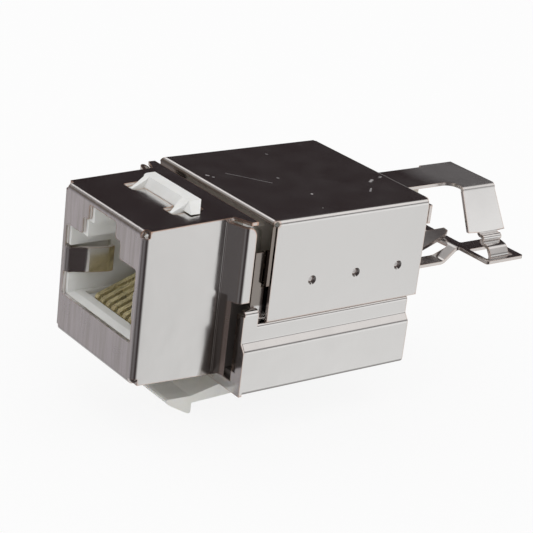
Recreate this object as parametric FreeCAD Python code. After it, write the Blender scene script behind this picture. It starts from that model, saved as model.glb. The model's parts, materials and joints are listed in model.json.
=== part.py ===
import FreeCAD, Part
import math
import os

# Shielded keystone jack, 8-way, in millimetres.
# Frame: +X to the right seen from the front, +Y back along the cable, +Z up.
# Origin: centre of the plug opening, on the outer face of the front panel.

V = FreeCAD.Vector

# ---- sheet metal -------------------------------------------------------
SHEET = 0.35              # thickness of every shield blank
BEND = 0.55               # outside bend radius
FIT = 0.05                # gap between parts that seat on each other
RUN = 0.15                # gap between parts that slide or turn

# ---- front shield (box that enters the panel) --------------------------
FRONT_W = 14.50           # width of the front panel
FRONT_UP = 7.65           # front panel above the plug axis
FRONT_DOWN = 7.80         # front panel below the plug axis
BOX_L = 9.80              # length of the straight part of the box
TOP_RISE = 0.30           # the top opens out by this much over BOX_L
BOTTOM_DROP = 0.40        # and so does the bottom
FLARE = 2.15              # sideways step behind the box
FLARE_Y = 9.25            # where the step starts
FLARE_RUN = 0.75          # length of the slanted part of the step
FLARE_CUT = 9.60          # below the strips the side panels end on the slant
FLARE_END = 11.10         # rear edge of the stepped-out side strips
STRIP_LOW = -0.10         # lower edge of these strips
STRIP_ROUND = 1.00        # radius of their upper rear corner
TOP_END = 11.40           # rear edge of the top panel
WING_X = 9.05             # the top panel's wings reach out to here
WING_START = 9.95         # slanted front edge of a wing
WING_END = 10.65

# ---- plug opening ------------------------------------------------------
PORT_W = 12.66
PORT_H = 7.35
KEY1_W, KEY1_H = 6.72, 1.70
KEY2_W, KEY2_H = 4.82, 1.57
SPRING_H = 2.60           # height of the ground springs beside the plug
SPRING_L = 4.60           # how deep they reach
SPRING_BOW = 1.45         # how far they bow into the port

# ---- moulded insert ----------------------------------------------------
CAVITY_W = 11.90
CAVITY_H = 6.90
CAVITY_L = 13.40
INSERT_L = 14.00
EDGE_BREAK = 0.25         # chamfer that clears the inside of the front bends
TRAY_W = 17.00            # floor that carries the circuit board
TRAY_END = 29.70
TRAY_T = 1.10
LUG_W = 8.10              # fixed lug that hooks the panel's upper edge
LUG_H = 0.95              # lug height above the top panel
LUG_LEG = 1.10
LUG_TIP = 0.30            # width of a leg's tip
LUG_CORNER = 0.45         # bevel of the bar's left front corner
LUG_FRONT = 4.90          # tips of the two ramped legs
LUG_FOOT = 6.30           # foot of the bar's slanted front
LUG_CREST = 6.80          # front edge of the bar's top
LUG_BACK = 8.15
LUG_GUSSET = 1.35         # sideways reach of the slanted end
LUG_GUSSET_Y = (6.20, 7.20)
LIP_Y = 1.20              # bevel of the cavity's lower front edge ends here

# ---- spring contacts ---------------------------------------------------
WAYS = 8
PITCH = 1.016
WIRE_W = 0.56
WIRE_T = 0.36
WIRE_FRONT = 2.45         # front bend of the contacts
WIRE_TURN = -3.30         # height of that bend
WIRE_LOW = -4.62          # height of the legs that run to the board
WIRE_TIP_Y = 11.40
WIRE_TIP_Z = -0.10
COMB_RIB = 0.22           # ribs between the sprung legs
TAIL_Y = (15.60, 17.40)   # two staggered rows of solder tails
TAIL_HOLE_R = 0.38

# ---- circuit board -----------------------------------------------------
BOARD_W = 16.60
BOARD_T = 1.40
BOARD_TOP = -4.85
BOARD_START = 14.30
BOARD_END = 29.60

# ---- wire termination block -------------------------------------------
BLOCK_W = 16.60
BLOCK_START = 18.50
BLOCK_END = 29.60
BLOCK_BASE = 2.30
BLOCK_H = 6.80
SLOT_PITCH = 2.60
SLOT_W = 1.40
POST_DEPTH = 3.90         # depth of each row of posts, across the jack
BLADE_X = 6.30            # blade position from the middle plane
BLADE_W = 2.20
BLADE_T = 0.40
BLADE_TOP = 1.10
BLADE_SLIT = 0.30

# ---- wire cap ----------------------------------------------------------
CAP_TOP = 7.45
CAP_CHANNEL_W = 6.60
CAP_TONGUE_W = 4.60
CAP_TONGUE_END = 37.30

# ---- lower shield ------------------------------------------------------
LOWER_W = 20.96
LOWER_FLOOR = -9.45       # underside
LOWER_START = 10.27
LOWER_END = 30.86
BAND_W = 19.80            # narrower band above the side ridge
RIDGE_LOW = -4.85
RIDGE_HIGH = -4.10
BAND_TOP = -2.30
POST_TOP = -0.80          # the front posts stand above the band
POST_L = 1.75
INNER_TOP = 4.80          # walls that the rear shield slides over
INNER_START = 11.45
WINDOW_W = 9.70           # floor cut-out for the latch
WINDOW_END = 21.80
FRONT_LIP = 8.85          # inner edge of the front flanges
FOOT_LIP = 6.25           # and of the foot at their lower end
FOOT_TOP = -8.40

# ---- rear shield (lift-off cover) --------------------------------------
COVER_W = 19.70
COVER_TOP = 8.06
COVER_START = 12.60       # face of the folded front edge
COVER_END = 32.45
COVER_SIDE_END = 31.95
COVER_BOTTOM = -2.25
COVER_LIP = 1.45          # depth of the folded front edge
LEG_IN = 8.10             # legs of the front edge, beside the side panels
LEG_OUT = 9.75
LEG_LOW = 1.48
RELIEF_R = 0.25           # round relief where top, side and front edge meet
RELIEF_Z = 7.50
REAR_FLAP_Z = 5.40
REAR_FLAP_W = 19.60
REAR_NOTCH_Z = 7.35       # the flap is narrower above this
DIMPLE_Y = (18.05, 23.50, 28.90)
DIMPLE_Z = 1.40
DIMPLE_R = 0.48
DIMPLE_FLAT = 0.24
DIMPLE_D = 0.33

# ---- cable clamp -------------------------------------------------------
STRAP_W = 4.90
STRAP_TOP = 6.30
HEAD_START = 41.70
HEAD_END = 46.30
HEAD_LEFT = 2.85
HEAD_RIGHT = 4.40
HEAD_FILLET = 1.20
LOW_STRAP_W = 6.90
LOW_STRAP_TOP = -2.45
RAMP_START = 41.40
RAMP_END = 43.30
PLATE_TOP = -0.95
PLATE_END = 48.55
PLATE_RIGHT = 8.15
PLATE_LEFT = 2.70
SLOT_X = (4.60, 7.60)     # slot of the end plate that the tongue enters
SLOT_Y = (43.80, 47.60)
GRIP_W = 2.60
GRIP_START = 37.60
GRIP_END = 44.00
GRIP_RISE = 20.0          # degrees

# ---- latch arm ---------------------------------------------------------
LATCH_W = 9.20
LATCH_PIVOT = (17.00, -11.05)
LATCH_ROOT_R = 1.10
FOOT_END = 21.50
FOOT_BOTTOM = -12.05


# ======================================================================
# helpers
# ======================================================================
def block(x0, x1, y0, y1, z0, z1):
    """Plain box between two corners."""
    return Part.makeBox(x1 - x0, y1 - y0, z1 - z0, V(x0, y0, z0))


def rod(radius, start, end):
    """Cylinder between two points."""
    axis = end - start
    return Part.makeCylinder(radius, axis.Length, start, axis)


def plane_map(plane, level):
    """Turns two drawing coordinates into a point of plane xy, xz or yz at a level."""
    maps = {
        "xy": lambda u, v: V(u, v, level),
        "xz": lambda u, v: V(u, level, v),
        "yz": lambda u, v: V(level, u, v),
    }
    return maps[plane]


def plane_normal(plane):
    return {"xy": V(0, 0, 1), "xz": V(0, 1, 0), "yz": V(1, 0, 0)}[plane]


def prism(points, plane, low, high):
    """Straight-sided outline pushed from one level to another."""
    place = plane_map(plane, low)
    corners = [place(u, v) for u, v in points]
    face = Part.Face(Part.makePolygon(corners + corners[:1]))
    return face.extrude(plane_normal(plane) * (high - low))


def rounded_prism(points, radius, plane, low, high):
    """Outline with every corner rounded, pushed from one level to another."""
    place = plane_map(plane, low)
    count = len(points)
    edges = []
    start = None
    last = None
    for i in range(count):
        before = FreeCAD.Vector(*points[i - 1], 0)
        here = FreeCAD.Vector(*points[i], 0)
        after = FreeCAD.Vector(*points[(i + 1) % count], 0)
        into = (here - before).normalize()
        out = (after - here).normalize()
        turn = into.getAngle(out)
        reach = radius * math.tan(turn / 2)
        first = here - into * reach
        second = here + out * reach
        inward = (out - into).normalize()
        centre = here + inward * (radius / math.cos(turn / 2))
        middle = centre - inward * radius
        p1 = place(first.x, first.y)
        p2 = place(middle.x, middle.y)
        p3 = place(second.x, second.y)
        if last is not None:
            edges.append(Part.makeLine(last, p1))
        else:
            start = p1
        edges.append(Part.Arc(p1, p2, p3).toShape())
        last = p3
    edges.append(Part.makeLine(last, start))
    face = Part.Face(Part.Wire(edges))
    return face.extrude(plane_normal(plane) * (high - low))


def side_of_strip(points, radii, shift):
    """One long side of a bent strip: the middle line moved sideways by shift.

    Returns rows of (kind, points): a line has two points and an arc three.
    """
    rows = []
    ends = [FreeCAD.Vector(u, v, 0) for u, v in points]
    heading = (ends[1] - ends[0]).normalize()
    here = ends[0] + V(-heading.y, heading.x, 0) * shift
    for i in range(1, len(ends) - 1):
        into = (ends[i] - ends[i - 1]).normalize()
        out = (ends[i + 1] - ends[i]).normalize()
        left_in = V(-into.y, into.x, 0)
        left_out = V(-out.y, out.x, 0)
        turn = into.getAngle(out)
        radius = radii[i - 1]
        reach = radius * math.tan(turn / 2)
        first = ends[i] - into * reach
        second = ends[i] + out * reach
        inward = (out - into).normalize()
        centre = ends[i] + inward * (radius / math.cos(turn / 2))
        sign = 1 if inward.dot(left_in) > 0 else -1
        own = radius - sign * shift
        a = first + left_in * shift
        b = centre - inward * own
        c = second + left_out * shift
        rows.append(("line", [here, a]))
        rows.append(("arc", [a, b, c]))
        here = c
    tail = (ends[-1] - ends[-2]).normalize()
    rows.append(("line", [here, ends[-1] + V(-tail.y, tail.x, 0) * shift]))
    return rows


def bent_strip(points, radii, thickness, plane, low, high):
    """Sheet of even thickness bent along a middle line, as wide as low to high."""
    place = plane_map(plane, low)
    if not isinstance(radii, (list, tuple)):
        radii = [radii] * (len(points) - 2)
    left = side_of_strip(points, radii, thickness / 2)
    right = side_of_strip(points, radii, -thickness / 2)
    edges = []
    for kind, row in left:
        spots = [place(p.x, p.y) for p in row]
        if kind == "line":
            edges.append(Part.makeLine(*spots))
        else:
            edges.append(Part.Arc(*spots).toShape())
    edges.append(Part.makeLine(place(*left[-1][1][-1][:2]), place(*right[-1][1][-1][:2])))
    for kind, row in reversed(right):
        spots = [place(p.x, p.y) for p in reversed(row)]
        if kind == "line":
            edges.append(Part.makeLine(*spots))
        else:
            edges.append(Part.Arc(*spots).toShape())
    edges.append(Part.makeLine(place(*right[0][1][0][:2]), place(*left[0][1][0][:2])))
    face = Part.Face(Part.Wire(edges))
    return face.extrude(plane_normal(plane) * (high - low))


def both_sides(shape):
    """The shape and its mirror image across the middle plane, as a list."""
    return [shape, shape.mirror(V(0, 0, 0), V(1, 0, 0))]


def fuse(shapes):
    """One clean solid from touching shapes."""
    result = shapes[0].multiFuse(shapes[1:])
    return result.removeSplitter()


def cut(shape, tools):
    return shape.cut(tools)


def save(name, shape):
    """Writes one named part and reports its size."""
    solids = shape.Solids
    result = solids[0] if len(solids) == 1 else Part.makeCompound(solids)
    result.exportStep("parts/" + name + ".step")
    print(name, len(solids), round(result.Volume, 3), result.isValid())


# ======================================================================
# shared lines of the folded box
# ======================================================================
def top_line(y):
    """Outer height of the top panel at a distance behind the front face."""
    return FRONT_UP + TOP_RISE * min(y, BOX_L) / BOX_L


def bottom_line(y):
    return -FRONT_DOWN - BOTTOM_DROP * y / BOX_L


MID = SHEET / 2
CORE = BEND - MID                     # bend radius of the sheet's middle line
TIGHT = MID + 0.025                   # middle line of the sharpest folds
SOFT = MID + 0.225                    # and of the softer ones
PORT_TOP = PORT_H / 2
PORT_LOW = -PORT_H / 2
HALF_FRONT = FRONT_W / 2
FLARE_HALF = HALF_FRONT + FLARE
COVER_SIDE_START = COVER_START + SHEET + RUN   # front edge of the cover's side panels


def port_outline(extra=0.0):
    """Stepped outline of the plug opening, grown or shrunk by extra."""
    w0 = PORT_W / 2 + extra
    w1 = KEY1_W / 2 + extra
    w2 = KEY2_W / 2 + extra
    z0 = PORT_LOW - extra
    z1 = PORT_TOP + extra
    z2 = PORT_TOP + KEY1_H + extra
    z3 = PORT_TOP + KEY1_H + KEY2_H + extra
    half = [(w0, z0), (w0, z1), (w1, z1), (w1, z2), (w2, z2), (w2, z3)]
    return half + [(-x, z) for x, z in reversed(half)]


# ======================================================================
# front shield
# ======================================================================
def ground_spring():
    """Tab folded in from the side edge of the opening, bowed into the port."""
    root = PORT_W / 2 - MID
    path = [
        (PORT_W / 2 + 0.3, MID),
        (root, MID),
        (root - 0.62 * SPRING_BOW, 0.42 * SPRING_L),
        (root - SPRING_BOW, 0.88 * SPRING_L),
        (root - 0.90 * SPRING_BOW, SPRING_L),
    ]
    return bent_strip(path, [0.32, 2.0, 0.35], SHEET, "xy", -SPRING_H / 2, SPRING_H / 2)


def lug_slot():
    """U-shaped cut in the top panel that the fixed lug stands through."""
    outer = LUG_W / 2 + 0.40
    inner = LUG_W / 2 - LUG_LEG - 0.35
    front = LUG_FRONT - 0.05
    bar = LUG_FOOT - RUN
    back = LUG_BACK + RUN
    outline = [
        (-outer, front), (-inner, front), (-inner, bar), (inner, bar),
        (inner, front), (outer, front), (outer, back), (-outer, back),
    ]
    return rounded_prism(outline, 0.30, "xy", FRONT_UP - 1.5, FRONT_UP + 1.5)


def strip_corner():
    """Waste outside the rounded upper rear corner of the stepped-out strips."""
    y = FLARE_END - STRIP_ROUND
    z = top_line(BOX_L) - SHEET - STRIP_ROUND
    waste = block(-20, 20, y, FLARE_END + 1, z, z + STRIP_ROUND + 1)
    return cut(waste, [rod(STRIP_ROUND, V(-20, y, z), V(20, y, z))])


def front_shield():
    corner = BEND + 0.1
    # top, front and bottom panels folded from one strip
    spine = bent_strip(
        [(TOP_END, top_line(TOP_END) - MID), (BOX_L, top_line(BOX_L) - MID),
         (MID, FRONT_UP - MID), (MID, -FRONT_DOWN + MID), (BOX_L, bottom_line(BOX_L) + MID)],
        [6.0, CORE, CORE], SHEET, "yz", -FLARE_HALF, FLARE_HALF)
    plan_half = [
        (HALF_FRONT - corner, -1.0), (HALF_FRONT - corner, corner), (HALF_FRONT, corner),
        (HALF_FRONT, WING_START), (WING_X, WING_END), (WING_X, TOP_END + 1),
    ]
    plan = plan_half + [(-x, y) for x, y in reversed(plan_half)]
    top = spine.common(prism(plan, "xy", 0, 20))
    bottom_half = plan_half[:3] + [(HALF_FRONT, BOX_L + 1)]
    bottom = spine.common(prism(bottom_half + [(-x, y) for x, y in reversed(bottom_half)],
                                "xy", -20, 0))
    # front face and both side panels, stepped out behind the box
    knee = FLARE_HALF - MID
    wall = HALF_FRONT - MID
    half = [(wall, MID), (wall, FLARE_Y), (knee, FLARE_Y + FLARE_RUN), (knee, FLARE_END)]
    path = [(-x, y) for x, y in reversed(half)] + half
    belt = bent_strip(path, CORE, SHEET, "xy", -20, 20)
    side_view = [
        (-1.0, -FRONT_DOWN + corner), (corner, -FRONT_DOWN + corner),
        (corner, bottom_line(corner) + SHEET), (FLARE_CUT, bottom_line(FLARE_CUT) + SHEET),
        (FLARE_CUT, STRIP_LOW), (FLARE_END + 1, STRIP_LOW),
        (FLARE_END + 1, top_line(BOX_L) - SHEET), (BOX_L, top_line(BOX_L) - SHEET),
        (corner, top_line(corner) - SHEET), (corner, FRONT_UP - corner), (-1.0, FRONT_UP - corner),
    ]
    belt = cut(belt.common(prism(side_view, "yz", -20, 20)), [strip_corner()])
    body = fuse([top, bottom, belt])
    port = rounded_prism(port_outline(), 0.25, "xz", -1.0, BEND + 0.3)
    body = cut(body, [port, lug_slot()])
    return fuse([body] + both_sides(ground_spring()))


# ======================================================================
# moulded insert with fixed lug, board tray and latch foot
# ======================================================================
CARRIER_W = 10.90
CARRIER_START = 2.15
CARRIER_END = 14.10
CARRIER_LOW = -6.85
CARRIER_TOP = -3.85


def lug():
    """Fixed lug: a bar with a slanted front, two ramped legs and one slanted end."""
    base = top_line(LUG_FRONT) - SHEET - 0.6
    skin = top_line(LUG_CREST)
    peak = skin + LUG_H
    outer = LUG_W / 2
    inner = outer - LUG_LEG
    bar = prism([(LUG_FOOT, base), (LUG_BACK, base), (LUG_BACK, peak), (LUG_CREST, peak),
                 (LUG_FOOT, skin)], "yz", -outer, outer)
    bar = bar.common(prism([(-outer, LUG_BACK), (-outer, LUG_CREST + LUG_CORNER),
                            (-outer + LUG_CORNER, LUG_FOOT), (outer, LUG_FOOT), (outer, LUG_BACK)],
                           "xy", base, peak))
    ramp = prism([(LUG_FRONT, base), (LUG_CREST, base), (LUG_CREST, peak),
                  (LUG_FOOT, skin + 0.64 * LUG_H),
                  ((LUG_FRONT + LUG_FOOT) / 2, skin + 0.25 * LUG_H), (LUG_FRONT, skin - 0.05)],
                 "yz", -outer, outer)
    left = [(-inner - LUG_TIP, LUG_FRONT), (-inner, LUG_FRONT), (-inner, LUG_CREST),
            (-outer + LUG_CORNER, LUG_CREST), (-outer + LUG_CORNER, LUG_FOOT)]
    right = [(outer - LUG_TIP, LUG_FRONT), (outer, LUG_FRONT), (outer, LUG_CREST),
             (inner, LUG_CREST), (inner, LUG_FOOT)]
    legs = [ramp.common(prism(plan, "xy", base, peak)) for plan in (left, right)]
    front, back = LUG_GUSSET_Y
    low = top_line(LUG_BACK) + FIT
    root = outer - 0.3
    reach = outer + LUG_GUSSET
    gusset = prism([(root, low), (reach, low), (reach - 0.1, low + 0.1), (outer, peak), (root, peak)],
                   "xz", front, LUG_BACK)
    gusset = gusset.common(prism([(root, front), (reach, front), (reach, back), (outer, LUG_BACK),
                                  (root, LUG_BACK)], "xy", low, peak))
    gusset = gusset.common(prism([(front, low), (LUG_BACK, low), (LUG_BACK, peak), (LUG_CREST, peak)],
                                 "yz", root, reach))
    return legs + [bar, gusset]


def tray():
    """Floor and ribs behind the plug cavity that carry the circuit board."""
    floor = LOWER_FLOOR + SHEET + FIT
    half = TRAY_W / 2
    plate = block(-half, half, INSERT_L - 3.0, TRAY_END, floor, floor + TRAY_T)
    under_board = BOARD_TOP - BOARD_T
    ribs = []
    for x0 in (-half, half - 1.0):
        ribs.append(block(x0, x0 + 1.0, INSERT_L - 0.4, TRAY_END, floor, under_board))
    ribs.append(block(-half, half, TRAY_END - 1.2, TRAY_END, floor, under_board))
    return [plate] + ribs


def latch_foot():
    """Block under the tray that the latch arm grows from."""
    half = LATCH_W / 2
    py, pz = LATCH_PIVOT
    outline = [(py, LOWER_FLOOR + SHEET + FIT), (py, FOOT_BOTTOM), (FOOT_END - 0.6, FOOT_BOTTOM),
               (FOOT_END, FOOT_BOTTOM + 0.6), (FOOT_END, LOWER_FLOOR + SHEET + FIT + 0.2)]
    foot = prism(outline, "yz", -half, half)
    socket = rod(LATCH_ROOT_R + RUN, V(-half - 1, py, pz), V(half + 1, py, pz))
    front = block(-half - 1, half + 1, py - 3, py + 0.55, FOOT_BOTTOM - 1, LOWER_FLOOR - 0.05)
    return cut(foot, [socket, front])


def jack_insert():
    half = HALF_FRONT - SHEET - FIT
    y0 = SHEET + FIT
    top0 = top_line(y0) - SHEET - FIT
    top1 = top_line(BOX_L) - SHEET - FIT
    low0 = bottom_line(y0) + SHEET + FIT
    low1 = bottom_line(BOX_L) + SHEET + FIT
    step = LOWER_START + SHEET + 0.15
    floor = LOWER_FLOOR + SHEET + FIT
    shoulder = TOP_END - RUN
    under_lip = COVER_TOP - COVER_LIP - RUN
    under_top = top_line(TOP_END) - SHEET - FIT
    under_cover = min(under_lip, under_top)
    body = prism([(y0, low0), (step, low1), (step, floor), (INSERT_L, floor), (INSERT_L, under_cover),
                  (shoulder, under_cover), (shoulder, top1), (BOX_L, top1), (y0, top0)],
                 "yz", -half, half)
    front_edges = [e for e in body.Edges if e.BoundBox.YMax < y0 + 0.01]
    body = body.makeChamfer(EDGE_BREAK, front_edges)
    core = fuse([body] + lug() + tray() + [latch_foot()])
    ceiling = PORT_TOP - (PORT_H - CAVITY_H) / 2
    shrink = (CAVITY_W - PORT_W) / 2
    cavity = block(-CAVITY_W / 2, CAVITY_W / 2, 0, CAVITY_L, ceiling - CAVITY_H, ceiling)
    key1 = block(-KEY1_W / 2 - shrink, KEY1_W / 2 + shrink, 0, CAVITY_L - 2.0,
                 ceiling - 1, ceiling + KEY1_H)
    key2 = block(-KEY2_W / 2 - shrink, KEY2_W / 2 + shrink, 0, CAVITY_L - 4.0,
                 ceiling - 1, ceiling + KEY1_H + KEY2_H)
    pocket = block(-CARRIER_W / 2 - FIT, CARRIER_W / 2 + FIT, CARRIER_START - FIT, INSERT_L + 1,
                   CARRIER_LOW - FIT, CARRIER_TOP + FIT)
    window = block(-CARRIER_W / 2 - FIT, CARRIER_W / 2 + FIT, CARRIER_START - FIT, CAVITY_L - 0.5,
                   CARRIER_TOP - 0.5, ceiling - 1)
    bevel = prism([(0, PORT_LOW), (y0, PORT_LOW), (LIP_Y, ceiling - CAVITY_H), (0, ceiling - 1)],
                  "yz", -CAVITY_W / 2, CAVITY_W / 2)
    springs = []
    reach = PORT_W / 2 + 0.10
    for side in (-1, 1):
        inner, outer = sorted((side * (CAVITY_W / 2 - 0.5), side * reach))
        springs.append(block(inner, outer, 0, SPRING_L + 0.4, -SPRING_H / 2 - RUN, SPRING_H / 2 + RUN))
    return cut(core, [cavity, key1, key2, pocket, window, bevel] + springs)


# ======================================================================
# contacts and their carrier
# ======================================================================
def way_x(index):
    return (index - (WAYS - 1) / 2) * PITCH


def tail_y(index):
    return TAIL_Y[index % 2]


def contact_wire(index):
    """Stamped contact: solder tail, leg to the front bend, and sprung leg back and up."""
    x = way_x(index)
    path = [
        (tail_y(index), BOARD_TOP - BOARD_T - 0.8), (tail_y(index), WIRE_LOW),
        (WIRE_FRONT, WIRE_LOW), (WIRE_FRONT, WIRE_TURN), (WIRE_TIP_Y, WIRE_TIP_Z),
    ]
    return bent_strip(path, [0.35, 0.42, 0.42], WIRE_T, "yz", x - WIRE_W / 2, x + WIRE_W / 2)


def contact_carrier():
    """Comb that holds the contacts apart: grooves below, rising ribs between the sprung legs."""
    half = CARRIER_W / 2
    groove_floor = WIRE_LOW - WIRE_T / 2 - FIT
    body = block(-half, half, CARRIER_START, CARRIER_END, CARRIER_LOW, CARRIER_TOP)
    grooves = []
    for index in range(WAYS):
        x = way_x(index)
        gap = WIRE_W / 2 + FIT
        grooves.append(block(x - gap, x + gap, CARRIER_START - 1, CARRIER_END + 1, groove_floor, 0))
    body = cut(body, grooves)
    slope = (WIRE_TIP_Z - WIRE_TURN) / (WIRE_TIP_Y - WIRE_FRONT)
    rib_start = WIRE_FRONT + 1.6
    rib_end = WIRE_TIP_Y + 0.4
    rib = [(rib_start, CARRIER_TOP - 0.2), (rib_end, CARRIER_TOP - 0.2),
           (rib_end, WIRE_TURN + slope * (rib_end - WIRE_FRONT) - 0.25),
           (rib_start + 0.6, WIRE_TURN + slope * (rib_start + 0.6 - WIRE_FRONT) - 0.25)]
    ribs = []
    for index in range(WAYS - 1):
        x = (way_x(index) + way_x(index + 1)) / 2
        ribs.append(prism(rib, "yz", x - COMB_RIB / 2, x + COMB_RIB / 2))
    return fuse([body] + ribs)


# ======================================================================
# circuit board, termination block, blades and wire cap
# ======================================================================
def slot_y(row):
    middle = (BLOCK_START + BLOCK_END) / 2
    return middle + (row - 1.5) * SLOT_PITCH


def blade_place(index):
    """Side (-1 or 1) and distance back of a termination blade."""
    side = -1 if index < 4 else 1
    return side, slot_y(index % 4)


def circuit_board():
    low = BOARD_TOP - BOARD_T
    half = BOARD_W / 2
    board = block(-half, half, BOARD_START, BOARD_END, low, BOARD_TOP)
    board = board.makeFillet(0.6, [e for e in board.Edges if abs(e.tangentAt(0).z) > 0.9])
    holes = []
    for index in range(WAYS):
        x = way_x(index)
        holes.append(rod(TAIL_HOLE_R, V(x, tail_y(index), low - 1), V(x, tail_y(index), BOARD_TOP + 1)))
        side, y = blade_place(index)
        holes.append(rod(0.45, V(side * BLADE_X, y, low - 1), V(side * BLADE_X, y, BOARD_TOP + 1)))
    return cut(board, holes)


def idc_block():
    """Base with two rows of posts; each gap between posts takes one conductor."""
    low = BOARD_TOP + FIT / 2
    half = BLOCK_W / 2
    base = block(-half, half, BLOCK_START, BLOCK_END, low, low + BLOCK_BASE)
    rows = []
    for x0 in (-half, half - POST_DEPTH):
        rows.append(block(x0, x0 + POST_DEPTH, BLOCK_START, BLOCK_END, low, low + BLOCK_H))
    body = fuse([base] + rows)
    tools = []
    for index in range(WAYS):
        side, y = blade_place(index)
        inner, outer = sorted((side * (half - POST_DEPTH - 1), side * (half + 1)))
        reach = SLOT_W / 2
        mouth = reach + 0.35
        brim = low + BLOCK_H - 0.8
        peak = low + BLOCK_H + 0.1
        tools.append(prism([(y - reach, low + BLOCK_BASE), (y + reach, low + BLOCK_BASE),
                            (y + reach, brim), (y + mouth, peak), (y - mouth, peak),
                            (y - reach, brim)], "yz", inner, outer))
        x = side * BLADE_X
        gap = BLADE_T / 2 + FIT
        tools.append(block(x - gap, x + gap, y - BLADE_W / 2 - FIT, y + BLADE_W / 2 + FIT,
                           low + 0.6, low + BLOCK_H + 1))
        tools.append(block(x - gap, x + gap, y - 0.40, y + 0.40, low - 1, low + 1))
    return cut(body, tools)


def idc_blade(index):
    """Forked blade: the slit cuts the conductor's cover, the pin goes through the board."""
    side, y = blade_place(index)
    x = side * BLADE_X
    base = BOARD_TOP + FIT / 2 + 0.6 + FIT
    half = BLADE_W / 2
    pin = 0.28
    slit = BLADE_SLIT / 2
    outline = [
        (y - pin, BOARD_TOP - BOARD_T - 0.8), (y + pin, BOARD_TOP - BOARD_T - 0.8), (y + pin, base),
        (y + half, base), (y + half, BLADE_TOP), (y + 0.55, BLADE_TOP), (y + slit, BLADE_TOP - 0.55),
        (y + slit, BLADE_TOP - 3.2), (y - slit, BLADE_TOP - 3.2), (y - slit, BLADE_TOP - 0.55),
        (y - 0.55, BLADE_TOP), (y - half, BLADE_TOP), (y - half, base), (y - pin, base),
    ]
    return prism(outline, "yz", x - BLADE_T / 2, x + BLADE_T / 2)


def wire_cap():
    """Lid over the block: a central wire channel and eight pushers over the gaps."""
    low = BOARD_TOP + FIT / 2 + BLOCK_H + FIT
    half = BLOCK_W / 2
    channel = CAP_CHANNEL_W / 2
    roof = STRAP_TOP - SHEET - FIT - 0.60
    lid = block(-half, half, BLOCK_START, BLOCK_END + 0.6, low, CAP_TOP)
    crest = [e for e in lid.Edges if abs(e.tangentAt(0).y) > 0.9 and e.CenterOfMass.z > low + 1]
    lid = lid.makeFillet(0.5, crest)
    lid = cut(lid, [block(-channel, channel, BLOCK_START - 1, BLOCK_END + 2, low - 1, roof)])
    pushers = []
    for index in range(WAYS):
        side, y = blade_place(index)
        for near, far in ((half - POST_DEPTH + 0.1, BLADE_X - BLADE_T / 2 - 0.12),
                          (BLADE_X + BLADE_T / 2 + 0.12, half - 0.2)):
            inner, outer = sorted((side * near, side * far))
            pushers.append(block(inner, outer, y - SLOT_W / 2 + 0.12, y + SLOT_W / 2 - 0.12,
                                 low - 2.2, low + 0.2))
    tongue = block(-CAP_TONGUE_W / 2, CAP_TONGUE_W / 2, BLOCK_END, CAP_TONGUE_END, roof, roof + 0.60)
    return fuse([lid, tongue] + pushers)


# ======================================================================
# lower shield with the lower half of the cable clamp
# ======================================================================
def wall_inner_face():
    """Outer face of the walls that the cover's dimples rub on."""
    return COVER_W / 2 - SHEET - DIMPLE_D - 0.03


def lower_side():
    """Right-hand side wall: floor edge, ridge, narrow band, front post and inner wall."""
    x0 = LOWER_W / 2 - MID
    x1 = BAND_W / 2 - MID
    x2 = wall_inner_face() - MID
    floor = LOWER_FLOOR + MID
    ledge = BAND_TOP - MID
    shelf = POST_TOP - MID
    outer_path = [(x0 - 3, floor), (x0, floor), (x0, RIDGE_LOW), (x1, RIDGE_HIGH)]
    inner = bent_strip(outer_path + [(x1, ledge), (x2, ledge), (x2, INNER_TOP)],
                       [CORE, SOFT, SOFT, TIGHT, TIGHT], SHEET, "xz", INNER_START, LOWER_END)
    post = bent_strip(outer_path + [(x1, shelf), (x1 - 0.5, shelf)],
                      [CORE, SOFT, SOFT, CORE - 0.075], SHEET, "xz", LOWER_START + MID, LOWER_START + POST_L)
    flange = prism([(FRONT_LIP, POST_TOP - 0.5), (x1 + MID, POST_TOP - 0.5), (x1 + MID, RIDGE_HIGH),
                    (x0 + MID, RIDGE_LOW), (x0 + MID, LOWER_FLOOR), (FOOT_LIP, LOWER_FLOOR),
                    (FOOT_LIP, FOOT_TOP), (FRONT_LIP, FOOT_TOP)],
                   "xz", LOWER_START, LOWER_START + SHEET)
    leg_slot = block(x2 - 1, x2 + MID + 0.1, COVER_START - RUN, COVER_SIDE_START,
                     LEG_LOW - 0.3, INNER_TOP + 1)
    return cut(fuse([inner, post, flange]), [leg_slot])


def clamp_grip():
    """Tongue cut from the lower strap and raised under the cable."""
    half = GRIP_W / 2
    tilt = math.tan(math.radians(GRIP_RISE))
    y0 = GRIP_START - 0.4
    z0 = LOW_STRAP_TOP - MID
    path = [(y0 - 1.2, z0), (GRIP_START, z0), (GRIP_END + 1, z0 + (GRIP_END + 1 - GRIP_START) * tilt)]
    strip = bent_strip(path, [1.2], SHEET, "yz", -half, half)
    outline = [(-half, y0 - 2), (half, y0 - 2), (half, GRIP_END - 0.8), (half - 0.45, GRIP_END - 0.1),
               (0.1, GRIP_END), (-0.85, GRIP_END - 1.4), (-half, GRIP_END - 2.2)]
    return strip.common(prism(outline, "xy", -10, 10))


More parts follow.
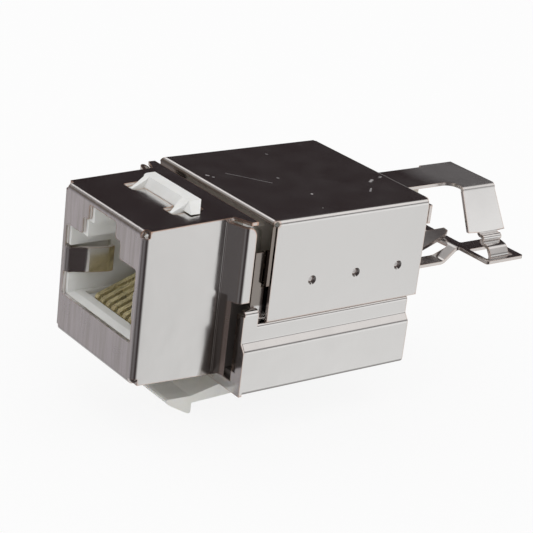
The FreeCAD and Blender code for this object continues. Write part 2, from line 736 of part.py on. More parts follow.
def lower_strap():
    """Strap, ramp and slotted end plate, folded out from the rear wall."""
    wall_y = LOWER_END - MID
    flat = LOW_STRAP_TOP - MID
    level = PLATE_TOP - MID
    path = [(WINDOW_END + 1, LOWER_FLOOR + MID), (wall_y, LOWER_FLOOR + MID), (wall_y, flat),
            (RAMP_START, flat), (RAMP_END, level), (PLATE_END + 1, level)]
    band = bent_strip(path, [CORE, CORE, 1.0, 1.0], SHEET, "yz", -20, 20)
    half = LOW_STRAP_W / 2
    neck = RAMP_END + 0.95
    plan = [(-half, wall_y), (-half, neck), (PLATE_LEFT, neck), (PLATE_LEFT, PLATE_END),
            (PLATE_RIGHT, PLATE_END), (PLATE_RIGHT, RAMP_END + 0.05), (half, RAMP_END + 0.05),
            (half, wall_y)]
    strap = band.common(rounded_prism(plan, 0.3, "xy", -6, 2))
    hole = rounded_prism([(-GRIP_W / 2 - 0.5, GRIP_START - 0.3), (-GRIP_W / 2 - 0.5, RAMP_END - 0.35),
                          (2.45, RAMP_END - 0.25), (GRIP_W / 2 + 0.25, RAMP_START - 0.2),
                          (GRIP_W / 2 + 0.25, GRIP_START - 0.3)], 0.35, "xy", -6, 2)
    left, right = SLOT_X
    front, back = SLOT_Y
    slot = rounded_prism([(left, front), (right, front), (right, back), (left, back)],
                         0.3, "xy", -6, 2)
    strap = cut(strap, [hole, slot])
    return fuse([strap, clamp_grip()])


def lower_shield():
    half = LOWER_W / 2 - 3
    floor = block(-half, half, LOWER_START, LOWER_END - BEND, LOWER_FLOOR, LOWER_FLOOR + SHEET)
    window = rounded_prism([(-WINDOW_W / 2, LOWER_START - 2), (WINDOW_W / 2, LOWER_START - 2),
                            (WINDOW_W / 2, WINDOW_END), (-WINDOW_W / 2, WINDOW_END)],
                           0.6, "xy", LOWER_FLOOR - 1, LOWER_FLOOR + 1)
    wall_half = LOWER_W / 2 - BEND - 0.1
    wall_y = LOWER_END - MID
    rear = bent_strip([(LOWER_END - 4, LOWER_FLOOR + MID), (wall_y, LOWER_FLOOR + MID),
                       (wall_y, LOW_STRAP_TOP - 1.6)], CORE, SHEET, "yz", -wall_half, wall_half)
    neck = block(-LOW_STRAP_W / 2, LOW_STRAP_W / 2, LOWER_END - SHEET, LOWER_END,
                 LOW_STRAP_TOP - 3, LOW_STRAP_TOP - BEND)
    body = fuse([cut(floor, [window]), rear, neck] + both_sides(lower_side()))
    return fuse([body, lower_strap()])


# ======================================================================
# rear shield: lift-off cover with the upper half of the cable clamp
# ======================================================================
def dimple(side, y):
    """Conical press mark: the tool that hollows the outside and the bump inside."""
    face = side * COVER_W / 2
    inward = V(-side, 0, 0)
    hollow = Part.makeCone(DIMPLE_R, DIMPLE_FLAT, DIMPLE_D, V(face, y, DIMPLE_Z), inward)
    bump = Part.makeCone(DIMPLE_R, DIMPLE_FLAT, DIMPLE_D, V(face - side * SHEET, y, DIMPLE_Z), inward)
    return hollow, bump


def fillet_web(x, y, radius, low, high):
    """Web that rounds the inner corner between two edges meeting at x, y."""
    overlap = 0.2
    square = block(x - overlap, x + radius, y - radius, y + overlap, low, high)
    centre = V(x + radius, y - radius, low - 1)
    return cut(square, [rod(radius, centre, centre + V(0, 0, high - low + 2))])


def clamp_arm():
    """End of the upper strap: head, slanted wall and sprung tongue through the slot."""
    top = STRAP_TOP - MID
    path = [
        (-HEAD_LEFT, top), (HEAD_RIGHT - MID, top), (4.90, 0.75), (6.75, 0.80),
        (4.95, 0.20), (6.60, -0.15), (7.10, -0.95), (7.05, -1.70),
    ]
    strip = bent_strip(path, [CORE, SOFT, TIGHT - 0.01, TIGHT - 0.01, SOFT, 0.60], SHEET, "xz", 35, 55)
    view = [
        (HEAD_START, top + 2), (HEAD_END, top + 2), (HEAD_END, top - 0.4), (48.20, 1.05), (47.10, 1.00),
        (47.30, -3.0), (44.60, -3.0), (44.50, 1.05), (42.95, 1.15), (HEAD_START, top - 0.4),
    ]
    web = fillet_web(STRAP_W / 2, HEAD_START, HEAD_FILLET, STRAP_TOP - SHEET, STRAP_TOP)
    return [strip.common(prism(view, "yz", -10, 12)), web]


def cover_shell():
    """Top, both sides and the folded front edge with its two legs."""
    half = COVER_W / 2
    skins = []
    for step, radius in ((0.0, BEND), (SHEET, BEND - SHEET)):
        skin = block(step - half, half - step, COVER_START + step, COVER_END + 5 + step,
                     COVER_BOTTOM - step, COVER_TOP - step)
        folds = [e for e in skin.Edges
                 if e.BoundBox.ZMin > COVER_TOP - 1 and e.BoundBox.YMin < COVER_END]
        skins.append(skin.makeFillet(radius, folds))
    shell = cut(skins[0], [skins[1]])
    front = COVER_START - 1
    lip = COVER_TOP - COVER_LIP
    waste = [
        rounded_prism([(-LEG_IN, LEG_LOW - 6), (LEG_IN, LEG_LOW - 6), (LEG_IN, lip), (-LEG_IN, lip)],
                      0.3, "xz", front, COVER_START + SHEET + 0.01),
        block(-20, 20, front, COVER_SIDE_START, COVER_BOTTOM - 1, LEG_LOW),
        block(-20, 20, COVER_SIDE_END, COVER_END + 6, COVER_BOTTOM - 1, COVER_TOP),
        block(-20, 20, COVER_END - BEND, COVER_END + 6, COVER_TOP - BEND - 0.1, COVER_TOP + 1),
    ]
    for side in (-1, 1):
        near, far = sorted((side * LEG_OUT, side * (half + 1)))
        waste.append(block(near, far, front, COVER_SIDE_START, COVER_BOTTOM - 1, RELIEF_Z))
        near, far = sorted((side * (half - 1), side * (half + 1)))
        waste.append(block(near, far, COVER_START + SHEET, COVER_SIDE_START, COVER_BOTTOM - 1, RELIEF_Z))
        spot = V(side * LEG_OUT, COVER_START + 0.45, RELIEF_Z + 0.20)
        way = V(side * 0.8, -0.6, 0.2)
        waste.append(rod(RELIEF_R, spot - way, spot + way))
    return cut(shell, waste)


def rear_shield():
    top = COVER_TOP - MID
    notch = COVER_W / 2 - BEND - 0.15
    flap_half = REAR_FLAP_W / 2
    flap = bent_strip([(COVER_START + 3, top), (COVER_END - MID, top), (COVER_END - MID, REAR_FLAP_Z)],
                      CORE, SHEET, "yz", -flap_half, flap_half)
    outline = [(flap_half, 0), (flap_half, REAR_NOTCH_Z), (notch, REAR_NOTCH_Z), (notch, COVER_TOP + 1)]
    outline += [(-x, z) for x, z in reversed(outline)]
    flap = flap.common(prism(outline, "xz", COVER_START, COVER_END + 1))
    gap = block(-STRAP_W / 2 - 0.3, STRAP_W / 2 + 0.3, COVER_END - 2 * SHEET, COVER_END + 2,
                REAR_FLAP_Z - 1, STRAP_TOP - 0.02)
    flap = cut(flap, [gap])
    strap = bent_strip([(COVER_END - 3, top), (COVER_END - MID, top),
                        (COVER_END - MID, STRAP_TOP - MID), (HEAD_END, STRAP_TOP - MID)],
                       [CORE, SOFT], SHEET, "yz", -STRAP_W / 2, STRAP_W / 2)
    bumps = []
    hollows = []
    for side in (-1, 1):
        for y in DIMPLE_Y:
            hollow, bump = dimple(side, y)
            hollows.append(hollow)
            bumps.append(bump)
    body = fuse([cover_shell(), flap, strap] + clamp_arm() + bumps)
    return cut(body, hollows)


# ======================================================================
# latch arm
# ======================================================================
def latch_arm():
    """Sprung arm with a ramped hook; its root is rounded about the bending line."""
    half = LATCH_W / 2
    py, pz = LATCH_PIVOT
    outline = [
        (6.05, -11.72), (6.60, -12.40), (8.75, -13.60), (8.98, -13.60), (9.10, -13.45), (9.10, -12.50),
        (13.30, -12.34), (py, pz - LATCH_ROOT_R), (py, pz + LATCH_ROOT_R), (11.55, -11.17),
        (8.90, -11.72), (6.30, -11.62),
    ]
    arm = prism(outline, "yz", -half, half)
    root = rod(LATCH_ROOT_R, V(-half, py, pz), V(half, py, pz))
    return fuse([arm, root])


# ======================================================================
# build
# ======================================================================
def main():
    os.makedirs("parts", exist_ok=True)
    save("front_shield", front_shield())
    save("jack_insert", jack_insert())
    save("latch_arm", latch_arm())
    save("contact_carrier", contact_carrier())
    for index in range(WAYS):
        save("contact_wire_" + str(index + 1), contact_wire(index))
    save("circuit_board", circuit_board())
    save("idc_block", idc_block())
    for index in range(WAYS):
        save("idc_blade_" + str(index + 1), idc_blade(index))
    save("wire_cap", wire_cap())
    save("lower_shield", lower_shield())
    save("rear_shield", rear_shield())


main()
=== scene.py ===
import json
import math

import bpy
from mathutils import Matrix, Vector


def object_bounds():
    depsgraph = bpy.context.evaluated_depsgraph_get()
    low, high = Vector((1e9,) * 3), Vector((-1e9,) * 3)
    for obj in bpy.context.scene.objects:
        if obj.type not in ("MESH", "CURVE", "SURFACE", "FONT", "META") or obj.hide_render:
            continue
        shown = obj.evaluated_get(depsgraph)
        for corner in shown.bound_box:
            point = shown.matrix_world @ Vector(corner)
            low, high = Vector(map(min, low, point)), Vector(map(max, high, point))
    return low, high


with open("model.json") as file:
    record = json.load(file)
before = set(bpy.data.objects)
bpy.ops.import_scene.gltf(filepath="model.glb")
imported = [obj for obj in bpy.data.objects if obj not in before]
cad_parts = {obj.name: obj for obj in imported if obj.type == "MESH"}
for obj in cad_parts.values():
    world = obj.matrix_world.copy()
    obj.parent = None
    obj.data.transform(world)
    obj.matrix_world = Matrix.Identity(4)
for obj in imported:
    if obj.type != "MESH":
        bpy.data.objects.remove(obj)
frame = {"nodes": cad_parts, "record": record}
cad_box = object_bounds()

# Shielded keystone jack: finishes, floor, light and camera.
# Blender lengths are in metres. Places and widths in a finish are in millimetres, in the CAD axes:
# x across, y from the plug opening to the cable, z up. All colours are linear.

MM = 0.001
WHITE = (1, 1, 1, 1)

# ---- camera, fitted to the photo (mm and degrees) -----------------------
CAMERA_TARGET = (-2.12, 21.79, -2.40)
CAMERA_DISTANCE = 179.4
CAMERA_AZIMUTH = 51.53
CAMERA_ELEVATION = 21.54
CAMERA_ROLL = 6.86
CAMERA_LENS = 117.1
CAMERA_SENSOR = 36.0
CAMERA_NEAR = 0.01            # metres
CAMERA_FAR = 20.0

# ---- plated sheet --------------------------------------------------------
NICKEL = (0.80, 0.79, 0.785, 1)
DULL_NICKEL = (0.66, 0.64, 0.63, 1)
COPPER_EDGE = (0.72, 0.44, 0.31, 1)
SATIN = (0.12, 0.19)          # roughness between the clouds
GRAIN_STRETCH = (9.0, 9.0, 0.8)
GRAIN_TONE = (0.93, 1.0)
GRAIN_RELIEF = 0.006 * MM
WAVE_RELIEF = 0.10 * MM
EDGE_REACH = 0.28 * MM        # how far into the sheet the test for a cut edge looks
EDGE_OPENNESS = (0.60, 0.74)
BARE_Z = (5.5, 7.0)           # below and above this the edges show less and more copper
BARE_LOW = 0.40
BARE_HIGH = 0.85
BARE_HIGH_COVER = 0.40
BARE_ROUGHER = 0.25

# ---- brushed front panel -------------------------------------------------
BRUSHED = (0.95, 0.93, 0.96, 1)
BRUSH_STRETCH = (1.9, 0.1, 0.11)
BRUSH_Y = (0.20, 0.40)        # the brushing ends here, behind the panel's outer face
BRUSH_DEPTH = 0.75
BRUSH_ROUGHER = 0.10

# ---- painted dark reflection and shade, where the metal faces a close neighbour: y range, z range, lean of the front edge, depth
PAINTED_DARK_REFLECTION = (0.19, 0.155, 0.13, 1)
BETWEEN_BOXES = ((11.20, 13.05), (-0.70, 7.72), 0.0, 0.80)
SIDE_REAR = ((9.00, 9.45), (-8.20, 0.45), 0.17, 0.70)
FRONT_BLUR = 0.25
REAR_BLUR = 0.05
RISE_BLUR = 0.10

# ---- wear of the cover, painted sheen on the clamp's head and painted highlights in the press dimples: start and end (x, y), width and depth of each mark
WEAR_AND_SHEEN = (0.62, 0.58, 0.58, 1)
TOP_Z = 8.06
TOP_MARKS = (
    ((-3.34, 16.09), (0.68, 19.00), 0.045, 0.34),
    ((-0.45, 20.45), (-0.30, 20.56), 0.09, 0.40),
    ((4.62, 20.99), (4.66, 20.99), 0.13, 0.95),
    ((-7.10, 23.80), (-6.90, 23.95), 0.07, 0.40),
    ((-3.40, 13.85), (-3.20, 13.98), 0.16, 0.45),
    ((-2.72, 14.18), (-2.62, 14.26), 0.12, 0.40),
    ((8.20, 19.54), (8.30, 19.60), 0.07, 0.30),
    ((5.95, 27.35), (5.25, 28.05), 0.13, 0.34),
    ((3.62, 29.25), (3.20, 29.85), 0.22, 0.42),
    ((2.90, 31.10), (2.70, 31.35), 0.20, 0.30),
    ((0.10, 22.60), (3.20, 26.40), 0.03, 0.05),
    ((-5.60, 18.20), (-1.40, 27.40), 0.03, 0.04),
)
HEAD_Z = 6.30
# painted sheen: a broad, faint lightening of the clamp's head
HEAD_SHEEN = (((-0.80, 43.40), (2.60, 44.20), 5.5, 0.12),)
# painted highlights: a lighter spot at the centre of each press dimple
DIMPLES_Y = (18.05, 23.50, 28.90)
DIMPLE_X = 9.65
DIMPLE_Z = 1.40
DIMPLE_LENGTH = 0.05
DIMPLE_WIDTH = 0.30
DIMPLE_HIGHLIGHT = 0.60
SPECK_SCALE = 2.3
SPECK_SHARE = (0.80, 0.84)
SPECK_DEPTH = 0.25
WEAR_ROUGHER = 0.4

# ---- plastics ------------------------------------------------------------
WHITE_PLASTIC = (0.90, 0.90, 0.88, 1)
# painted shade of the white plastic where it is enclosed
PAINTED_SHADE_PLASTIC = (0.58, 0.54, 0.45, 1)
IVORY_PLASTIC = (0.66, 0.61, 0.53, 1)
LATCH_PLASTIC = (0.96, 0.95, 0.90, 1)
PLASTIC_IOR = 1.5
PLASTIC_SCATTER = (1.2 * MM, 1.1 * MM, 0.9 * MM)
SHADE_REACH = 9.0 * MM        # how far the test for an enclosed place looks
SHADE_OPENNESS = (0.05, 0.35)
FINE_RELIEF = 0.01 * MM

# ---- flanks of the insert that the real shell closes, painted dark as the shell's shaded metal: y from, z up to, x out from
PAINTED_SHADED_METAL = (0.16, 0.14, 0.13, 1)
FLANK_Y = 9.62
FLANK_Z = -0.05
FLANK_X = 6.40
FLANK_BLUR = 0.05

# ---- contacts and board --------------------------------------------------
GOLD = (1.0, 0.88, 0.52, 1)
TIN = (0.66, 0.66, 0.65, 1)
CONTACT_METALLIC = 0.75
LINE_STRETCH = (12.0, 1.0, 1.0)
BOARD = (0.02, 0.16, 0.06, 1)
TRACK_SCALE = 0.7
TRACK_RELIEF = 0.03 * MM

# ---- floor and room ------------------------------------------------------
FLOOR_SIZE = 6.0
FLOOR_GAP = 0.3 * MM
FLOOR_COLOUR = (0.86, 0.86, 0.86, 1)
FLOOR_WHITENESS = 0.88        # share of plain white that the camera sees; the rest keeps the shadow
ROOM_LIGHT = (0.95, 0.95, 0.95, 1)

# What the metal sees: direction, full within and gone beyond (degrees), radiance.
DARK_ROOM = (0.045, 0.036, 0.036, 1)
REFLECTED = (
    # below, and what the front panel and the bends beside it see
    ((0.0, 0.0, -1.0), 20, 55, (0.28, 0.27, 0.26, 1)),
    ((-0.42, -0.83, -0.367), 8, 20, (0.19, 0.185, 0.19, 1)),
    ((-0.728, -0.579, -0.367), 14, 34, (0.275, 0.255, 0.26, 1)),
    ((-0.80, -0.50, -0.33), 3, 10, (0.42, 0.385, 0.38, 1)),
    ((-0.05, -0.93, -0.367), 3, 14, (0.10, 0.085, 0.08, 1)),
    ((0.50, -0.78, -0.367), 8, 26, (0.15, 0.14, 0.14, 1)),
    # what the side faces, the ridge and the clamp's slanted wall see
    ((0.57, 0.75, -0.37), 12, 48, (0.62, 0.615, 0.605, 1)),
    ((0.86, 0.47, -0.27), 2, 9, (0.70, 0.69, 0.685, 1)),
    ((0.62, 0.60, -0.52), 4, 13, (0.88, 0.88, 0.87, 1)),
    ((0.72, 0.67, -0.17), 3, 9, (0.90, 0.895, 0.89, 1)),
    ((0.80, 0.58, -0.08), 5, 20, (0.92, 0.915, 0.905, 1)),
    ((0.53, 0.58, 0.61), 8, 18, (0.50, 0.48, 0.47, 1)),
    # what the top faces and their bends see
    ((-0.728, 0.579, 0.367), 12, 30, (0.028, 0.020, 0.021, 1)),
    ((-0.728, -0.579, 0.367), 8, 20, (0.12, 0.095, 0.075, 1)),
    ((-0.728, -0.36, 0.58), 4, 12, (0.36, 0.34, 0.33, 1)),
    ((-0.728, 0.02, 0.69), 7, 15, (0.95, 0.92, 0.90, 1)),
    ((0.367, 0.579, 0.728), 13, 26, (0.90, 0.87, 0.85, 1)),
    # the pale ground behind, seen at grazing angles
    ((-0.75, 0.35, -0.55), 20, 40, (0.60, 0.59, 0.58, 1)),
    # soft boxes on each side, overhead and behind, for the other views
    ((1.0, 0.0, 0.06), 7, 15, (0.55, 0.545, 0.54, 1)),
    ((-1.0, 0.0, 0.06), 10, 22, (0.55, 0.545, 0.54, 1)),
    ((0.0, -1.0, 0.06), 7, 15, (0.45, 0.445, 0.44, 1)),
    ((-0.10, 0.15, 1.0), 8, 22, (0.50, 0.495, 0.49, 1)),
    ((-0.30, 0.93, -0.20), 20, 36, (0.45, 0.44, 0.43, 1)),
)


# ======================================================================
# node helpers
# ======================================================================
class Nodes:
    """Small builder for one node tree."""

    def __init__(self, tree):
        self.tree = tree
        self.tree.nodes.clear()

    def add(self, kind, inputs=None, **settings):
        """A node with its settings, and its inputs by name or number."""
        node = self.tree.nodes.new(kind)
        for key, value in settings.items():
            setattr(node, key, value)
        self.feed(node, inputs or {})
        return node

    def feed(self, node, inputs):
        """Gives inputs their values, or links them where the value is a socket."""
        for key, value in inputs.items():
            if isinstance(value, bpy.types.NodeSocket):
                self.tree.links.new(value, node.inputs[key])
            else:
                node.inputs[key].default_value = value

    def show(self, surface, kind="ShaderNodeOutputMaterial"):
        self.add(kind, {"Surface": surface.outputs[0]})

    # ---- numbers ---------------------------------------------------------
    def math(self, operation, first, second=0.0, clamp=False):
        node = self.add("ShaderNodeMath", {0: first, 1: second}, operation=operation, use_clamp=clamp)
        return node.outputs[0]

    def product(self, first, *others):
        for other in others:
            first = self.math("MULTIPLY", first, other)
        return first

    def ramp(self, value, low, high, start=0.0, end=1.0):
        """Value stretched from low..high to start..end, held at both ends."""
        span = {"Value": value, "From Min": low, "From Max": high, "To Min": start, "To Max": end}
        return self.add("ShaderNodeMapRange", span, clamp=True).outputs["Result"]

    def spread(self, noise, start, end):
        """The middle of a noise, where nearly all of it lies, stretched to start..end."""
        return self.ramp(noise, 0.3, 0.7, start, end)

    # ---- colours and vectors ---------------------------------------------
    def mix(self, factor, first, second):
        node = self.add("ShaderNodeMix", data_type="RGBA")
        self.feed(node, {0: factor, 6: first, 7: second})
        return node.outputs[2]

    def vector(self, operation, first, second):
        return self.add("ShaderNodeVectorMath", {0: first, 1: second}, operation=operation)

    def axes(self, where):
        return self.add("ShaderNodeSeparateXYZ", {"Vector": where}).outputs

    def millimetres(self, stretch=(1.0, 1.0, 1.0)):
        """Object coordinates in millimetres, stretched along the axes."""
        coordinate = self.add("ShaderNodeTexCoord").outputs["Object"]
        scale = [along / MM for along in stretch]
        return self.add("ShaderNodeMapping", {"Vector": coordinate, "Scale": scale}).outputs["Vector"]

    # ---- textures --------------------------------------------------------
    def noise(self, where, scale, detail=3.0, roughness=0.5):
        inputs = {"Vector": where, "Scale": scale, "Detail": detail, "Roughness": roughness}
        return self.add("ShaderNodeTexNoise", inputs).outputs["Fac"]

    def openness(self, reach, **settings):
        """1 where nothing stands within reach, falling to 0 where all round is closed."""
        return self.add("ShaderNodeAmbientOcclusion", {"Distance": reach}, **settings).outputs["AO"]

    def bump(self, height, strength, distance, under=None):
        inputs = {"Height": height, "Strength": strength, "Distance": distance}
        if under is not None:
            inputs["Normal"] = under
        return self.add("ShaderNodeBump", inputs).outputs["Normal"]


def new_material(name):
    material = bpy.data.materials.new(name)
    material.use_nodes = True
    nodes = Nodes(material.node_tree)
    return material, nodes, nodes.add("ShaderNodeBsdfPrincipled")


def scaled(colour, factor):
    return tuple(channel * factor for channel in colour[:3]) + (1,)


# ======================================================================
# masks
# ======================================================================
def bare_edges(nodes, z, bare_high):
    """Mask of the sheet's cut edges: a cut edge has little sheet behind it within the reach."""
    inside = nodes.openness(EDGE_REACH, inside=True, only_local=True, samples=8)
    low, high = EDGE_OPENNESS
    share = nodes.ramp(z, BARE_Z[0], BARE_Z[1], BARE_LOW, bare_high)
    return nodes.product(nodes.ramp(inside, low, high, 1.0, 0.0), share)


def painted_dark_reflection(nodes, where, place):
    """Mask of painted dark reflection and shade, where the metal faces a close neighbour, with a soft
    front edge.
    """
    (front, rear), (low, high), lean, depth = place
    y, z = nodes.axes(where)["Y"], nodes.axes(where)["Z"]
    leaning = nodes.math("SUBTRACT", y, nodes.product(z, lean))
    return nodes.product(
        nodes.ramp(leaning, front - FRONT_BLUR, front + FRONT_BLUR),
        nodes.ramp(y, rear - REAR_BLUR, rear, 1.0, 0.0),
        nodes.ramp(z, low - RISE_BLUR, low + RISE_BLUR),
        nodes.ramp(z, high - RISE_BLUR, high + RISE_BLUR, 1.0, 0.0),
        depth)


def line_mark(nodes, where, start, end, width):
    """Mask of a short straight mark between two points."""
    start, end = Vector(start), Vector(end)
    along = end - start
    offset = nodes.vector("SUBTRACT", where, start).outputs["Vector"]
    reached = nodes.vector("DOT_PRODUCT", offset, along).outputs["Value"]
    share = nodes.math("DIVIDE", reached, along.length_squared, clamp=True)
    nearest = nodes.add("ShaderNodeVectorMath", {0: along, "Scale": share}, operation="SCALE")
    gap = nodes.vector("DISTANCE", offset, nearest.outputs["Vector"])
    return nodes.ramp(gap.outputs["Value"], 0.4 * width, width, 1.0, 0.0)


def wear_and_sheen(nodes, where, marks):
    """Mask of the wear marks, the painted sheen and painted highlights, and of a few specks between
    them.
    """
    specks = nodes.noise(where, SPECK_SCALE, 2.0)
    wear_and_sheen_mask = nodes.ramp(specks, SPECK_SHARE[0], SPECK_SHARE[1], 0.0, SPECK_DEPTH)
    for start, end, width, depth in marks:
        mark = nodes.product(line_mark(nodes, where, start, end, width), depth)
        wear_and_sheen_mask = nodes.math("MAXIMUM", mark, wear_and_sheen_mask)
    return wear_and_sheen_mask


def painted_metal_flank(nodes, where):
    """Mask of the insert's flanks behind the side panels, which get painted shade as the shell's dark
    metal.
    """
    place = nodes.axes(where)
    aside = nodes.math("ABSOLUTE", place["X"])
    return nodes.product(
        nodes.ramp(place["Y"], FLANK_Y, FLANK_Y + FLANK_BLUR),
        nodes.ramp(place["Z"], FLANK_Z - FLANK_BLUR, FLANK_Z, 1.0, 0.0),
        nodes.ramp(aside, FLANK_X, FLANK_X + FLANK_BLUR))


# ======================================================================
# finishes
# ======================================================================
def brush(nodes, y, colour, satin):
    """Upright brushed streaks, on the front panel alone."""
    strokes = nodes.noise(nodes.millimetres(BRUSH_STRETCH), 1.0, 4.0, 0.65)
    on_front = nodes.ramp(y, BRUSH_Y[0], BRUSH_Y[1], 1.0, 0.0)
    streaks = nodes.product(nodes.ramp(strokes, 0.40, 0.60), on_front, BRUSH_DEPTH)
    rougher = nodes.product(on_front, BRUSH_ROUGHER)
    return nodes.mix(streaks, colour, BRUSHED), nodes.math("ADD", satin, rougher)


def plated_sheet(name, place, marks=(), brushed=False, bare_high=BARE_HIGH):
    """Bright nickel on copper alloy sheet: the cut edges show the bare alloy, and the given place gets a
    painted dark reflection.
    """
    material, nodes, shader = new_material(name)
    where = nodes.millimetres()
    grain = nodes.noise(nodes.millimetres(GRAIN_STRETCH), 1.0)
    bare = bare_edges(nodes, nodes.axes(where)["Z"], bare_high)
    colour = nodes.mix(bare, NICKEL, COPPER_EDGE)
    colour = nodes.mix(nodes.spread(grain, *GRAIN_TONE), DULL_NICKEL, colour)
    # painted dark reflection and shade at the given place
    colour = nodes.mix(painted_dark_reflection(nodes, where, place), colour, PAINTED_DARK_REFLECTION)
    rough = nodes.spread(nodes.noise(where, 0.35, 4.0), *SATIN)
    if brushed:
        colour, rough = brush(nodes, nodes.axes(where)["Y"], colour, rough)
    rough = nodes.math("ADD", rough, nodes.product(bare, BARE_ROUGHER))
    metallic = 1.0
    # wear marks, with the painted sheen and painted highlights among them: lighter and less metallic
    if marks:
        wear_and_sheen_mask = wear_and_sheen(nodes, where, marks)
        colour = nodes.mix(wear_and_sheen_mask, colour, WEAR_AND_SHEEN)
        metallic = nodes.math("SUBTRACT", 1.0, wear_and_sheen_mask)
        rough = nodes.math("ADD", rough, nodes.product(wear_and_sheen_mask, WEAR_ROUGHER), clamp=True)
    waves = nodes.bump(nodes.noise(where, 0.22, 2.0), 0.35, WAVE_RELIEF)
    relief = nodes.bump(grain, 0.10, GRAIN_RELIEF, waves)
    nodes.feed(shader, {"Base Color": colour, "Metallic": metallic, "Roughness": rough,
                        "Normal": relief})
    nodes.show(shader)
    return material


def moulded_plastic(name, colour, roughness, subsurface, shade=None):
    """Moulded plastic: faint flow clouds, a fine matt skin, and with a shade, painted shade where
    enclosed and painted dark flanks.
    """
    material, nodes, shader = new_material(name)
    where = nodes.millimetres()
    clouds = nodes.ramp(nodes.noise(where, 0.5), 0.35, 0.65)
    tone = nodes.mix(clouds, scaled(colour, 0.93), colour)
    if shade:
        # painted shade where the plastic is enclosed
        sky = nodes.openness(SHADE_REACH, samples=12)
        tone = nodes.mix(nodes.ramp(sky, *SHADE_OPENNESS), shade, tone)
        # painted dark flanks, standing in for the shell's metal in shade
        tone = nodes.mix(painted_metal_flank(nodes, where), tone, PAINTED_SHADED_METAL)
    skin = nodes.noise(where, 14.0)
    nodes.feed(shader, {"Base Color": tone,
                        "Roughness": nodes.spread(skin, roughness - 0.05, roughness + 0.07),
                        "Normal": nodes.bump(skin, 0.15, FINE_RELIEF),
                        "Subsurface Weight": subsurface,
                        "Subsurface Radius": PLASTIC_SCATTER,
                        "IOR": PLASTIC_IOR})
    nodes.show(shader)
    return material


def plated_contact(name, colour, roughness):
    """Plated stamping with fine lines along its length."""
    material, nodes, shader = new_material(name)
    lines = nodes.noise(nodes.millimetres(LINE_STRETCH), 1.5)
    nodes.feed(shader, {"Base Color": nodes.mix(nodes.spread(lines, 0, 1), scaled(colour, 0.82), colour),
                        "Metallic": CONTACT_METALLIC,
                        "Roughness": nodes.spread(lines, roughness, roughness + 0.12),
                        "Normal": nodes.bump(lines, 0.2, FINE_RELIEF)})
    nodes.show(shader)
    return material


def circuit_board():
    """Solder resist with the faint relief of the copper tracks below it."""
    material, nodes, shader = new_material("solder_resist")
    where = nodes.millimetres()
    tracks = nodes.add("ShaderNodeTexBrick", {"Vector": where, "Scale": TRACK_SCALE}).outputs["Fac"]
    nodes.feed(shader, {"Base Color": nodes.mix(tracks, BOARD, scaled(BOARD, 1.7)),
                        "Roughness": nodes.spread(nodes.noise(where, 5.0, 2.0), 0.22, 0.34),
                        "Normal": nodes.bump(tracks, 0.3, TRACK_RELIEF)})
    nodes.show(shader)
    return material


def marks_at(z, marks):
    """Marks that lie on one level face."""
    return tuple(((*start, z), (*end, z), width, depth) for start, end, width, depth in marks)


def cover_marks():
    """Wear of the top, painted sheen on the clamp's head, and painted highlights at the centres of the
    press dimples.
    """
    dimples = tuple(((x, y, DIMPLE_Z), (x, y + DIMPLE_LENGTH, DIMPLE_Z), DIMPLE_WIDTH, DIMPLE_HIGHLIGHT)
                    for y in DIMPLES_Y for x in (-DIMPLE_X, DIMPLE_X))
    return marks_at(TOP_Z, TOP_MARKS) + marks_at(HEAD_Z, HEAD_SHEEN) + dimples


def finish_nodes():
    """Gives each shield its own finish, and every other CAD node that of its material slot."""
    sheets = {
        "front_shield": plated_sheet("front_sheet", SIDE_REAR, brushed=True),
        "rear_shield": plated_sheet("cover_sheet", BETWEEN_BOXES, cover_marks(),
                                    bare_high=BARE_HIGH_COVER),
        "lower_shield": plated_sheet("lower_sheet", BETWEEN_BOXES),
    }
    finishes = {
        "white_plastic": moulded_plastic("white_plastic", WHITE_PLASTIC, roughness=0.38,
                                         subsurface=0.08, shade=PAINTED_SHADE_PLASTIC),
        "ivory_plastic": moulded_plastic("ivory_plastic", IVORY_PLASTIC, roughness=0.42,
                                         subsurface=0.08),
        "clear_plastic": moulded_plastic("latch_plastic", LATCH_PLASTIC, roughness=0.30,
                                         subsurface=0.45),
        "contact_gold": plated_contact("contact_gold", GOLD, roughness=0.22),
        "blade_tin": plated_contact("blade_tin", TIN, roughness=0.28),
        "board_green": circuit_board(),
    }
    slots = {entry["node"]: entry["material_slot"] for entry in frame["record"]["subparts"]}
    for name, node in frame["nodes"].items():
        finish = sheets[name] if name in sheets else finishes[slots[name]]
        for holder in node.material_slots:
            holder.material = finish


# ======================================================================
# stage and light
# ======================================================================
def floor(lowest):
    """Plain pale floor. The camera sees it near-white, with a faint shadow."""
    bpy.ops.mesh.primitive_plane_add(size=FLOOR_SIZE, location=(0, 0, lowest - FLOOR_GAP))
    plane = bpy.context.object
    plane.name = "floor"
    plane.visible_glossy = False
    material, nodes, shader = new_material("pale_floor")
    nodes.feed(shader, {"Base Color": FLOOR_COLOUR, "Roughness": 0.9})
    camera_ray = nodes.add("ShaderNodeLightPath").outputs["Is Camera Ray"]
    white = nodes.add("ShaderNodeEmission", {"Color": WHITE, "Strength": 1.0})
    share = nodes.product(camera_ray, FLOOR_WHITENESS)
    surfaces = {0: share, 1: shader.outputs[0], 2: white.outputs[0]}
    nodes.show(nodes.add("ShaderNodeMixShader", surfaces))
    plane.data.materials.append(material)


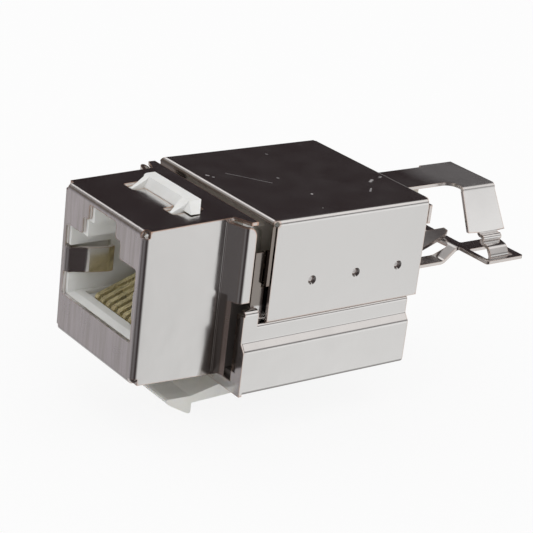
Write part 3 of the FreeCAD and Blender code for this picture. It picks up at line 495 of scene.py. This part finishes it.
def soft_box(nodes, direction, aim, inner, outer):
    """Mask of a round soft light far away, full inside one angle and gone at another."""
    facing = nodes.vector("DOT_PRODUCT", direction, Vector(aim).normalized()).outputs["Value"]
    return nodes.ramp(facing, math.cos(math.radians(outer)), math.cos(math.radians(inner)))


def studio():
    """The camera and matt surfaces see a white room; metal sees a dark one with soft boxes."""
    world = bpy.data.worlds.new("studio")
    world.use_nodes = True
    bpy.context.scene.world = world
    nodes = Nodes(world.node_tree)
    direction = nodes.add("ShaderNodeTexCoord").outputs["Generated"]
    mirrored = DARK_ROOM
    for aim, inner, outer, radiance in REFLECTED:
        mirrored = nodes.mix(soft_box(nodes, direction, aim, inner, outer), mirrored, radiance)
    path = nodes.add("ShaderNodeLightPath").outputs
    seen = nodes.mix(path["Is Glossy Ray"], ROOM_LIGHT, mirrored)
    seen = nodes.mix(path["Is Camera Ray"], seen, WHITE)
    nodes.show(nodes.add("ShaderNodeBackground", {"Color": seen, "Strength": 1.0}),
               "ShaderNodeOutputWorld")


def camera():
    """Camera at the photo's angle: it looks at the target, then rolls."""
    azimuth = math.radians(CAMERA_AZIMUTH)
    elevation = math.radians(CAMERA_ELEVATION)
    back = Vector((math.sin(azimuth) * math.cos(elevation),
                   -math.cos(azimuth) * math.cos(elevation), math.sin(elevation)))
    place = Vector(CAMERA_TARGET) * MM + back * (CAMERA_DISTANCE * MM)
    look = (-back).to_track_quat("-Z", "Y").to_matrix().to_4x4()
    roll = Matrix.Rotation(math.radians(CAMERA_ROLL), 4, "Z")
    data = bpy.data.cameras.new("camera")
    data.lens = CAMERA_LENS
    data.sensor_width = CAMERA_SENSOR
    data.clip_start = CAMERA_NEAR
    data.clip_end = CAMERA_FAR
    eye = bpy.data.objects.new("camera", data)
    eye.matrix_world = Matrix.Translation(place) @ look @ roll
    bpy.context.collection.objects.link(eye)
    bpy.context.scene.camera = eye


bpy.context.scene.view_settings.view_transform = "Standard"
finish_nodes()
floor(cad_box[0].z)
studio()
camera()
